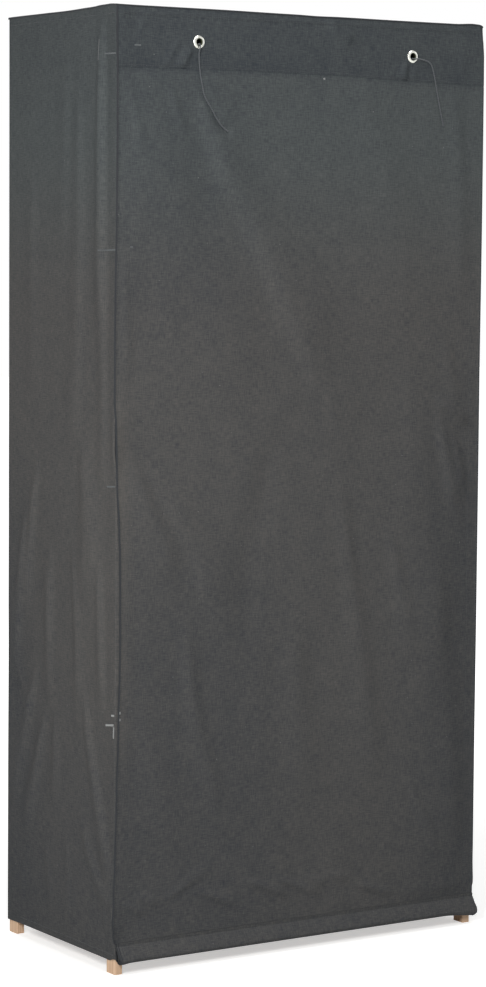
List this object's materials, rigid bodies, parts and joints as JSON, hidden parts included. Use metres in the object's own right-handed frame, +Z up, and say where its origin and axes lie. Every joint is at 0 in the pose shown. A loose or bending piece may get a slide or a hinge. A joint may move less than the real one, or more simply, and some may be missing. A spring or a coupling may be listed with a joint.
{
  "type": "fabric wardrobe",
  "caption": "Free-standing wardrobe: a pine lath frame with a hanging rail and slatted shelves under a sewn dark grey cloth cover whose front rolls up.",
  "frame": {"origin": "on the floor, in the middle of the width and of the depth over the hem", "axes": "+X to the right seen from the front, +Y to the back, +Z up; the roll-up front faces -Y"},
  "size_m": [0.7997, 0.4174, 1.7],
  "materials": {
    "pine": "planed, unfinished pine",
    "cover_cloth": "matt plain-woven cloth",
    "hook_and_loop": "woven hook-and-loop tape",
    "nickel": "nickel-plated brass",
    "zinc_screw": "zinc-plated steel",
    "tie_cord": "braided cord"
  },
  "bodies": {
    "wardrobe": {"front_left_post": "pine", "back_left_post": "pine", "front_right_post": "pine", "back_right_post": "pine", "left_bottom_rung": "pine", "left_shelf_rung": "pine", "left_middle_rung": "pine", "left_upper_rung": "pine", "left_rail_rung": "pine", "right_bottom_rung": "pine", "right_shelf_rung": "pine", "right_middle_rung": "pine", "right_upper_rung": "pine", "right_rail_rung": "pine", "top_front_rail": "pine", "top_back_rail": "pine", "bottom_front_rail": "pine", "bottom_back_rail": "pine", "hanging_rail": "pine", "bottom_slat_1": "pine", "bottom_slat_2": "pine", "bottom_slat_3": "pine", "bottom_slat_4": "pine", "bottom_slat_5": "pine", "shelf_slat_1": "pine", "shelf_slat_2": "pine", "shelf_slat_3": "pine", "shelf_slat_4": "pine", "shelf_slat_5": "pine", "top_front_left_screw": "zinc_screw", "top_back_left_screw": "zinc_screw", "bottom_front_left_screw": "zinc_screw", "bottom_back_left_screw": "zinc_screw", "top_front_right_screw": "zinc_screw", "top_back_right_screw": "zinc_screw", "bottom_front_right_screw": "zinc_screw", "bottom_back_right_screw": "zinc_screw", "top_panel": "cover_cloth", "back_panel": "cover_cloth", "left_side_panel": "cover_cloth", "right_side_panel": "cover_cloth", "front_header": "cover_cloth", "left_facing": "cover_cloth", "right_facing": "cover_cloth", "front_cover": "cover_cloth", "left_hook_tape": "hook_and_loop", "right_hook_tape": "hook_and_loop", "left_loop_tape": "hook_and_loop", "right_loop_tape": "hook_and_loop", "left_eyelet": "nickel", "right_eyelet": "nickel", "left_eyelet_washer": "nickel", "right_eyelet_washer": "nickel", "left_tie_cord": "tie_cord", "right_tie_cord": "tie_cord", "left_tie_cord_inner": "tie_cord", "right_tie_cord_inner": "tie_cord"},
    "hem": {"hem_sleeve": "cover_cloth", "hem_rod": "pine"}
  },
  "joints": [
    {"name": "cover_roll", "type": "slide", "parent": "wardrobe", "child": "hem", "axis": [0, 0, 1], "range_m": [0, 1.42], "deforming": ["front_cover", "left_loop_tape", "right_loop_tape"]}
  ]
}
